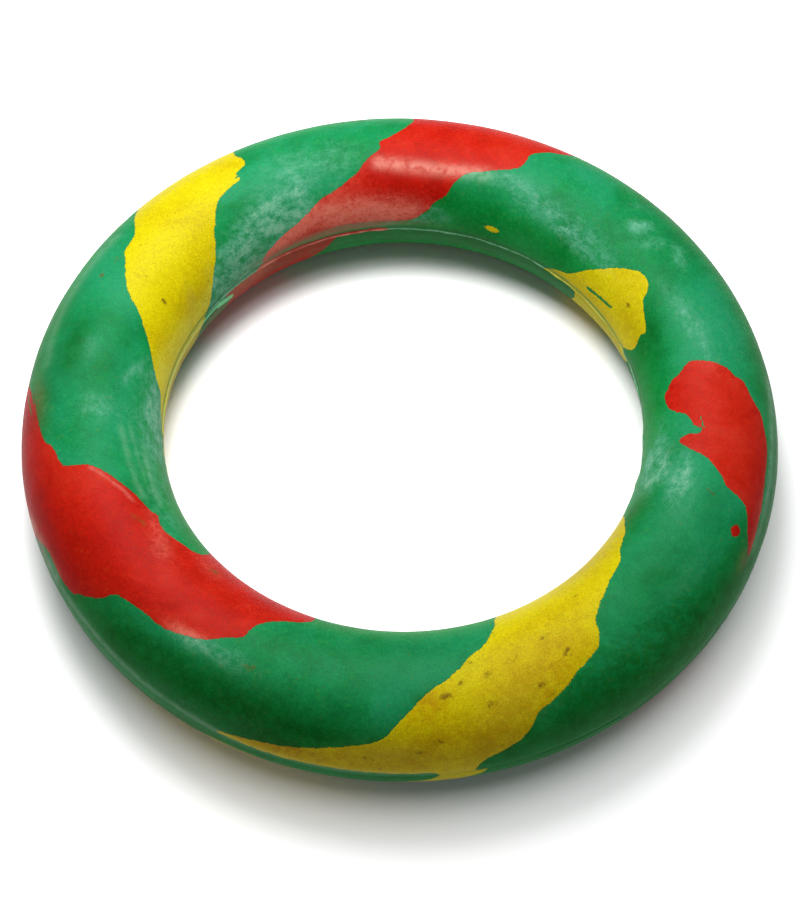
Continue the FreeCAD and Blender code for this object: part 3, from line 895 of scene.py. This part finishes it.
def marbled_rubber(name):
    """Marbled rubber. Which compound shows follows the pieces' ragged edges."""
    material = bpy.data.materials.new(name)
    n = Rubber(material)
    bloom_and_sheen = bloom_and_sheen_strength(n)
    colour = with_bloom_and_sheen(n, plain_colour(n), bloom_and_sheen)
    colour = with_seams(n, with_dirt_and_shade(n, colour))
    edge = n.math("MINIMUM", n.math("ABSOLUTE", n.red_depth), n.math("ABSOLUTE", n.yellow_depth))
    colour = n.shaded(colour, n.ramp(edge, 0.0, 0.16, 0.76, 1.0))
    rough = n.plus(n.ramp(n.mottle, 0.3, 0.7, 0.38, 0.50), n.times(bloom_and_sheen, 0.2), True)
    shader = n.add("BsdfPrincipled", {
        "Base Color": colour, "Roughness": rough, "Specular IOR Level": GLOSS,
        "Normal": relief(n, edge),
    })
    n.add("OutputMaterial", {"Surface": shader.outputs[0]})
    return material


MATERIALS = {name: marbled_rubber(name) for name in ("green_rubber", "red_rubber", "yellow_rubber")}

for inlays, node, side, share in (
    (UPPER_INLAYS, "green_upper_shell", 1, -0.5), (LOWER_INLAYS, "green_lower_shell", -1, 0.5)
):
    skin = Skin(inlays, side, share)
    make_inlays(skin)
    make_shell(skin, node, side)

# Floor
FLOOR_SIZE, FLOOR_Z = 6.0, -TUBE_R - 0.1 * MM
floor_mesh = bpy.data.meshes.new("floor")
half = FLOOR_SIZE / 2
floor_mesh.from_pydata(
    [(-half, -half, FLOOR_Z), (half, -half, FLOOR_Z), (half, half, FLOOR_Z), (-half, half, FLOOR_Z)],
    [], [(0, 1, 2, 3)],
)
floor = bpy.data.objects.new("floor", floor_mesh)
bpy.context.scene.collection.objects.link(floor)
floor_material = bpy.data.materials.new("floor")
floor_nodes = Nodes(floor_material)
floor_shader = floor_nodes.add("BsdfPrincipled", {
    "Base Color": (0.93, 0.93, 0.93), "Roughness": 0.9, "Specular IOR Level": 0.1,
})
floor_nodes.add("OutputMaterial", {"Surface": floor_shader.outputs[0]})
floor_mesh.materials.append(floor_material)


# Lights
def area_light(name, place, target, size, power):
    """A round soft light at a place, turned to a target, which the camera doesn't see."""
    light = bpy.data.lights.new(name, "AREA")
    light.shape, light.size, light.energy = "DISK", size, power
    lamp = bpy.data.objects.new(name, light)
    lamp.location = place
    lamp.visible_camera = False
    lamp.rotation_euler = (Vector(target) - Vector(place)).to_track_quat("-Z", "Y").to_euler()
    bpy.context.scene.collection.objects.link(lamp)


area_light("soft_box", (-0.045, 0.115, 0.25), (0, 0.02, 0), 0.20, 1.20)
area_light("overhead", (0, 0.15, 1.2), (0, 0, 0), 1.0, 12.0)

world = bpy.data.worlds.new("studio")
bpy.context.scene.world = world
world.use_nodes = True
world.node_tree.nodes["Background"].inputs["Color"].default_value = (1, 1, 1, 1)
world.node_tree.nodes["Background"].inputs["Strength"].default_value = 0.2
bpy.context.scene.view_settings.view_transform = "Standard"

# Camera
ELEVATION, ROLL = math.radians(59.08), math.radians(0.22)
DISTANCE, LOOK_AT = 5.508 * RING_R, Vector((-0.0059, -0.1169, 0)) * RING_R
camera_data = bpy.data.cameras.new("camera")
camera_data.lens, camera_data.sensor_width, camera_data.sensor_fit = 68.4, 36, "AUTO"
camera_data.clip_start = 0.01
camera = bpy.data.objects.new("camera", camera_data)
back = Vector((0, -math.cos(ELEVATION), math.sin(ELEVATION)))
camera.location = LOOK_AT + DISTANCE * back
facing = (-back).to_track_quat("-Z", "Y").to_matrix()
from_roll = facing @ Matrix.Rotation(ROLL, 3, "Z")
camera.rotation_euler = from_roll.to_euler()
bpy.context.scene.collection.objects.link(camera)
bpy.context.scene.camera = camera
